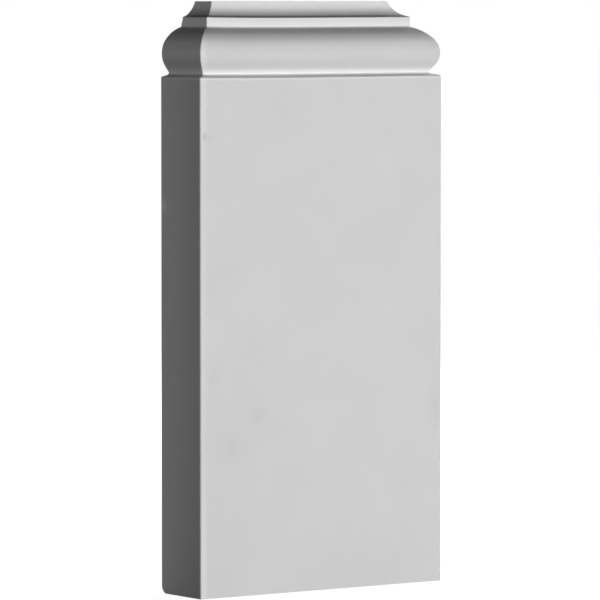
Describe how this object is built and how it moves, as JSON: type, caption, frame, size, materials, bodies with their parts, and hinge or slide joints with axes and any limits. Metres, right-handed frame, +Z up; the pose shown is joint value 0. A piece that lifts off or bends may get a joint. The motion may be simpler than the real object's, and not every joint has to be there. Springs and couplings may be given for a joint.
{
  "type": "plinth block",
  "caption": "Rectangular plinth block for the foot of a door casing, with a moulded cap of torus, flat band and cove that returns along both sides to a flat back.",
  "frame": {"origin": "centre of the footprint, on the floor", "axes": "+Z up, +Y from the front face to the flat back that goes against the wall, +X to the right as seen from the front"},
  "size_m": [0.127, 0.03, 0.254],
  "materials": {
    "primer": "matte white primer, as moulded"
  },
  "bodies": {
    "root": {"plinth_block": "primer"}
  },
  "joints": []
}
